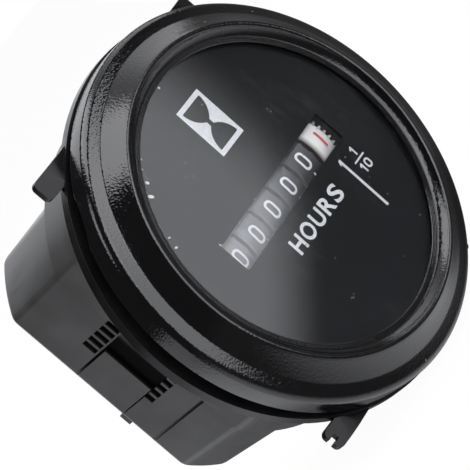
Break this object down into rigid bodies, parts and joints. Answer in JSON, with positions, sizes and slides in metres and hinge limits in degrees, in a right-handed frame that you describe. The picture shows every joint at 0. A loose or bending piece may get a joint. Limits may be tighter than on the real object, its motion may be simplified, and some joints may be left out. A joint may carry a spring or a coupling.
{
  "type": "hour meter",
  "caption": "Round panel hour meter: black crimped bezel and lens, six number wheels behind a dial window, flat-sided case with push-on spring clip and blade terminals.",
  "frame": {"origin": "centre of the panel seat, the rear edge of the bezel skirt", "axes": "the dial faces -Y, +Y runs back through the panel, +Z is the dial's up, +X is right seen from the front"},
  "size_m": [0.0593, 0.045, 0.0592],
  "materials": {
    "bezel_paint": "gloss black paint with a slight orange peel",
    "clear_lens": "clear polished acrylic",
    "dial_black": "satin black print",
    "gasket_rubber": "matte",
    "case_plastic": "satin moulded",
    "clip_plastic": "satin moulded",
    "white_wheel": "satin",
    "black_wheel": "satin",
    "natural_plastic": "natural acetal",
    "steel": "ground",
    "magnet": "sintered",
    "frame_plastic": "satin moulded",
    "core_steel": "laminated",
    "copper_wire": "enamelled copper wire",
    "board_green": "solder mask",
    "can_metal": "drawn can",
    "capacitor_sleeve": "shrink sleeve",
    "chip_black": "moulded",
    "tinned_brass": "tinned"
  },
  "bodies": {
    "meter_body": {"bezel": "bezel_paint", "lens": "clear_lens", "dial_plate": "dial_black", "lens_gasket": "gasket_rubber", "case": "case_plastic", "retaining_clip": "clip_plastic", "wheel_shaft": "steel", "pinion_shaft": "steel", "idler_arbor": "steel", "rotor_arbor": "steel", "counter_frame": "frame_plastic", "stator_core": "core_steel", "coil_bobbin": "natural_plastic", "coil_winding": "copper_wire", "circuit_board": "board_green", "crystal": "can_metal", "capacitor": "capacitor_sleeve", "control_chip": "chip_black", "positive_terminal": "tinned_brass", "negative_terminal": "tinned_brass"},
    "tenths_wheel": {"tenths_wheel": "white_wheel"},
    "ones_wheel": {"ones_wheel": "black_wheel"},
    "tens_wheel": {"tens_wheel": "black_wheel"},
    "hundreds_wheel": {"hundreds_wheel": "black_wheel"},
    "thousands_wheel": {"thousands_wheel": "black_wheel"},
    "ten_thousands_wheel": {"ten_thousands_wheel": "black_wheel"},
    "ones_pinion": {"ones_pinion": "natural_plastic"},
    "tens_pinion": {"tens_pinion": "natural_plastic"},
    "hundreds_pinion": {"hundreds_pinion": "natural_plastic"},
    "thousands_pinion": {"thousands_pinion": "natural_plastic"},
    "ten_thousands_pinion": {"ten_thousands_pinion": "natural_plastic"},
    "idler_gear": {"idler_gear": "natural_plastic"},
    "rotor": {"rotor": "magnet"}
  },
  "joints": [
    {"name": "tenths_wheel_turn", "type": "hinge", "parent": "meter_body", "child": "tenths_wheel", "pos_m": [0, 0.003, 0.0005], "axis": [1, 0, 0], "range_deg": [-36, 252]},
    {"name": "idler_turn", "type": "hinge", "parent": "meter_body", "child": "idler_gear", "pos_m": [0, 0.00977, 0.00296], "axis": [1, 0, 0], "continuous": true},
    {"name": "rotor_turn", "type": "hinge", "parent": "meter_body", "child": "rotor", "pos_m": [0, 0.01672, 0.0011], "axis": [1, 0, 0], "continuous": true},
    {"name": "ones_wheel_turn", "type": "hinge", "parent": "meter_body", "child": "ones_wheel", "pos_m": [0, 0.003, 0.0005], "axis": [1, 0, 0], "range_deg": [0, 288]},
    {"name": "ones_pinion_turn", "type": "hinge", "parent": "meter_body", "child": "ones_pinion", "pos_m": [0, 0.00822, -0.00572], "axis": [1, 0, 0], "continuous": true},
    {"name": "tens_wheel_turn", "type": "hinge", "parent": "meter_body", "child": "tens_wheel", "pos_m": [0, 0.003, 0.0005], "axis": [1, 0, 0], "range_deg": [0, 288]},
    {"name": "tens_pinion_turn", "type": "hinge", "parent": "meter_body", "child": "tens_pinion", "pos_m": [0, 0.00822, -0.00572], "axis": [1, 0, 0], "continuous": true},
    {"name": "hundreds_wheel_turn", "type": "hinge", "parent": "meter_body", "child": "hundreds_wheel", "pos_m": [0, 0.003, 0.0005], "axis": [1, 0, 0], "range_deg": [0, 288]},
    {"name": "hundreds_pinion_turn", "type": "hinge", "parent": "meter_body", "child": "hundreds_pinion", "pos_m": [0, 0.00822, -0.00572], "axis": [1, 0, 0], "continuous": true},
    {"name": "thousands_wheel_turn", "type": "hinge", "parent": "meter_body", "child": "thousands_wheel", "pos_m": [0, 0.003, 0.0005], "axis": [1, 0, 0], "range_deg": [0, 288]},
    {"name": "thousands_pinion_turn", "type": "hinge", "parent": "meter_body", "child": "thousands_pinion", "pos_m": [0, 0.00822, -0.00572], "axis": [1, 0, 0], "continuous": true},
    {"name": "ten_thousands_wheel_turn", "type": "hinge", "parent": "meter_body", "child": "ten_thousands_wheel", "pos_m": [0, 0.003, 0.0005], "axis": [1, 0, 0], "range_deg": [0, 288]},
    {"name": "ten_thousands_pinion_turn", "type": "hinge", "parent": "meter_body", "child": "ten_thousands_pinion", "pos_m": [0, 0.00822, -0.00572], "axis": [1, 0, 0], "continuous": true}
  ],
  "couplings": [
    {"joint": "idler_turn", "follows": "tenths_wheel_turn", "ratio": -5},
    {"joint": "rotor_turn", "follows": "tenths_wheel_turn", "ratio": 25},
    {"joint": "ones_pinion_turn", "follows": "ones_wheel_turn", "ratio": -2.5},
    {"joint": "tens_pinion_turn", "follows": "tens_wheel_turn", "ratio": -2.5},
    {"joint": "hundreds_pinion_turn", "follows": "hundreds_wheel_turn", "ratio": -2.5},
    {"joint": "thousands_pinion_turn", "follows": "thousands_wheel_turn", "ratio": -2.5},
    {"joint": "ten_thousands_pinion_turn", "follows": "ten_thousands_wheel_turn", "ratio": -2.5}
  ]
}
